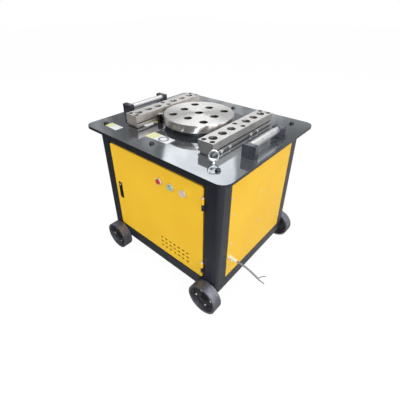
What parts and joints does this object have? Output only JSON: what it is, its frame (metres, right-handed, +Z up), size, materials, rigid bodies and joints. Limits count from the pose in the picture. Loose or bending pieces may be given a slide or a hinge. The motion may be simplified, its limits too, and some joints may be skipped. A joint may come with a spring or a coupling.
{
  "type": "rebar bending machine",
  "caption": "Wheeled cabinet with a steel table, a turning disc with pin sockets between two socket bars, feed rollers, a hinged door with push buttons and a drive inside.",
  "frame": {"origin": "on the floor under the centre of the table", "axes": "+X to the right along the door, +Y to the back, +Z up"},
  "size_m": [1.0147, 0.773, 0.8181],
  "materials": {
    "frame_paint": "semi-gloss charcoal paint",
    "table_steel": "polished dark steel",
    "panel_paint": "semi-gloss yellow paint",
    "ground_steel": "ground steel",
    "machined_steel": "turned steel",
    "bright_screws": "bright plated",
    "dark_screws": "black oxide",
    "block_paint": "blackened steel",
    "wheel_iron": "painted casting",
    "case_iron": "painted casting",
    "motor_paint": "painted casting",
    "belt_rubber": "rubber",
    "black_plastic": "moulded",
    "switch_metal": "plain",
    "zinc_plate": "zinc plated",
    "contactor_plastic": "moulded",
    "gland_plastic": "moulded nylon",
    "cable_sheath": "rubber sheath",
    "core_sheath": "insulation",
    "red_plastic": "moulded",
    "green_plastic": "moulded",
    "white_plastic": "moulded"
  },
  "bodies": {
    "frame": {"corner_posts": "frame_paint", "top_rails": "frame_paint", "bottom_rails": "frame_paint", "panel_lips": "frame_paint", "base_pan": "frame_paint", "table_plate": "table_steel", "left_side_panel": "panel_paint", "right_side_panel": "panel_paint", "back_panel": "panel_paint", "panel_screws": "bright_screws", "table_bolts": "dark_screws", "eye_bolt": "bright_screws", "left_socket_bar": "ground_steel", "right_socket_bar": "ground_steel", "socket_bar_screws": "dark_screws", "bar_clamp_screws": "bright_screws", "left_roller_blocks": "block_paint", "right_roller_blocks": "block_paint", "roller_block_screws": "dark_screws", "roller_shafts": "ground_steel", "switch_body": "black_plastic", "gear_case": "case_iron", "gear_case_bearings": "machined_steel", "motor_housing": "motor_paint", "motor_terminal_box": "motor_paint", "motor_stand": "frame_paint", "drive_belts": "belt_rubber", "contactor_plate": "zinc_plate", "contactors": "contactor_plastic", "cable_gland": "gland_plastic", "supply_cable": "cable_sheath", "cable_cores": "core_sheath", "hinge_lower_halves": "frame_paint", "wheel_axles": "frame_paint", "axle_retainers": "machined_steel"},
    "disc": {"work_disc": "ground_steel", "main_spindle": "machined_steel", "bull_gear": "machined_steel", "disc_rim_screws": "bright_screws"},
    "pinion": {"pinion_shaft": "machined_steel", "driven_pulley": "case_iron"},
    "rotor": {"motor_shaft": "machined_steel", "motor_pulley": "case_iron"},
    "door": {"front_door": "panel_paint", "lock_housing": "black_plastic", "hinge_upper_halves": "frame_paint", "button_bezels": "bright_screws", "contact_blocks": "black_plastic"},
    "lock_lever": {"lock_lever": "black_plastic"},
    "lock_button": {"lock_button": "switch_metal"},
    "red_button": {"red_button": "red_plastic"},
    "green_button": {"green_button": "green_plastic"},
    "white_button": {"white_button": "white_plastic"},
    "switch_lever": {"switch_lever": "switch_metal"},
    "left_roller": {"left_roller": "ground_steel"},
    "right_roller": {"right_roller": "ground_steel"},
    "front_left_wheel": {"front_left_wheel": "wheel_iron"},
    "back_left_wheel": {"back_left_wheel": "wheel_iron"},
    "front_right_wheel": {"front_right_wheel": "wheel_iron"},
    "back_right_wheel": {"back_right_wheel": "wheel_iron"}
  },
  "joints": [
    {"name": "disc_spin", "type": "hinge", "parent": "frame", "child": "disc", "pos_m": [0, 0, 0.79], "axis": [0, 0, 1], "continuous": true},
    {"name": "pinion_spin", "type": "hinge", "parent": "frame", "child": "pinion", "pos_m": [-0.176, 0, 0.65], "axis": [0, 0, 1], "continuous": true},
    {"name": "rotor_spin", "type": "hinge", "parent": "frame", "child": "rotor", "pos_m": [0.12, 0.185, 0.5], "axis": [0, 0, 1], "continuous": true},
    {"name": "front_left_wheel_spin", "type": "hinge", "parent": "frame", "child": "front_left_wheel", "pos_m": [-0.315, -0.3615, 0.08], "axis": [0, 1, 0], "continuous": true},
    {"name": "back_left_wheel_spin", "type": "hinge", "parent": "frame", "child": "back_left_wheel", "pos_m": [-0.315, 0.3615, 0.08], "axis": [0, 1, 0], "continuous": true},
    {"name": "front_right_wheel_spin", "type": "hinge", "parent": "frame", "child": "front_right_wheel", "pos_m": [0.348, -0.3615, 0.08], "axis": [0, 1, 0], "continuous": true},
    {"name": "back_right_wheel_spin", "type": "hinge", "parent": "frame", "child": "back_right_wheel", "pos_m": [0.348, 0.3615, 0.08], "axis": [0, 1, 0], "continuous": true},
    {"name": "left_roller_spin", "type": "hinge", "parent": "frame", "child": "left_roller", "pos_m": [-0.3725, -0.014, 0.7975], "axis": [0, 1, 0], "continuous": true},
    {"name": "right_roller_spin", "type": "hinge", "parent": "frame", "child": "right_roller", "pos_m": [0.3725, -0.014, 0.7975], "axis": [0, 1, 0], "continuous": true},
    {"name": "door_swing", "type": "hinge", "parent": "frame", "child": "door", "pos_m": [0.3105, -0.3388, 0.42], "axis": [0, 0, 1], "range_deg": [0, 90]},
    {"name": "lock_lever_swing", "type": "hinge", "parent": "door", "child": "lock_lever", "pos_m": [-0.268, -0.3295, 0.371], "axis": [1, 0, 0], "range_deg": [0, 35]},
    {"name": "lock_button_press", "type": "slide", "parent": "door", "child": "lock_button", "axis": [0, 1, 0], "range_m": [0, 0.003], "stiffness_N_per_m": 300},
    {"name": "red_button_press", "type": "slide", "parent": "door", "child": "red_button", "axis": [0, 1, 0], "range_m": [0, 0.004], "stiffness_N_per_m": 400},
    {"name": "green_button_press", "type": "slide", "parent": "door", "child": "green_button", "axis": [0, 1, 0], "range_m": [0, 0.004], "stiffness_N_per_m": 400},
    {"name": "white_button_press", "type": "slide", "parent": "door", "child": "white_button", "axis": [0, 1, 0], "range_m": [0, 0.004], "stiffness_N_per_m": 400},
    {"name": "switch_lever_swing", "type": "hinge", "parent": "frame", "child": "switch_lever", "pos_m": [-0.172, -0.104, 0.8005], "axis": [0, 0, 1], "range_deg": [-15, 15], "stiffness_Nm_per_rad": 0.5}
  ],
  "couplings": [
    {"joint": "pinion_spin", "follows": "disc_spin", "ratio": -4.5},
    {"joint": "rotor_spin", "follows": "disc_spin", "ratio": -8}
  ]
}
